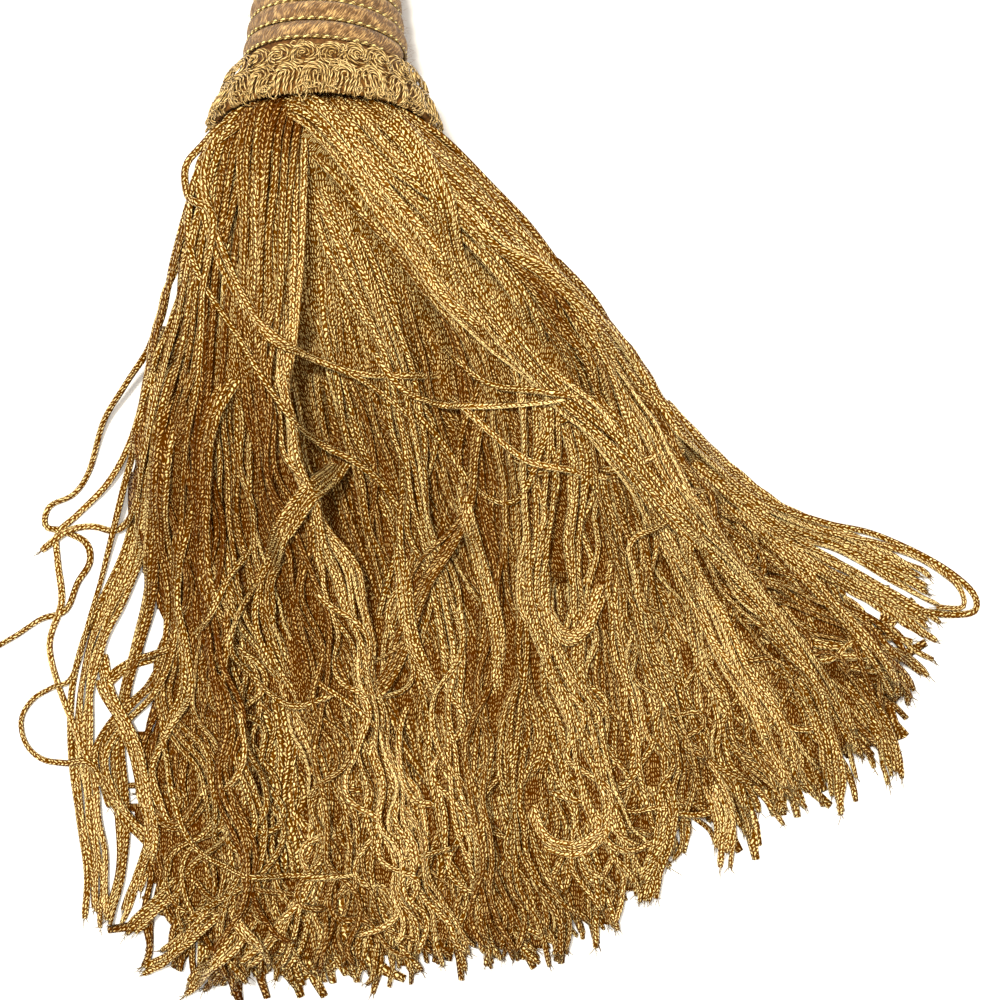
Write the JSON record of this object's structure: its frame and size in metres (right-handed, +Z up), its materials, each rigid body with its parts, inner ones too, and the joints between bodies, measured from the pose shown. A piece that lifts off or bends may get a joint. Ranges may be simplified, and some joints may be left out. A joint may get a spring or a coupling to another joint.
{
  "type": "curtain tassel",
  "caption": "curtain tieback tassel lying on its side, with a cord-wound head, a scrolled gold ruff and a long chain-knit fringe skirt fanned out to one side",
  "frame": {"origin": "on the surface the tassel lies on, at the middle of the small flat under the ruff's rim", "axes": "+Z up, +Y from the skirt towards the head, along the tassel, +X towards the side that the skirt fans out to"},
  "size_m": [0.2444, 0.2826, 0.053],
  "materials": {
    "head_winding": "matte tan brushed roving",
    "head_cord": "shiny gold two-ply rayon cord",
    "ruff": "satin gold rayon gimp",
    "skirt": "satin gold rayon chain-knit fringe"
  },
  "bodies": {
    "root": {"head_winding": "head_winding", "head_cord": "head_cord", "ruff": "ruff", "skirt": "skirt"}
  },
  "joints": []
}
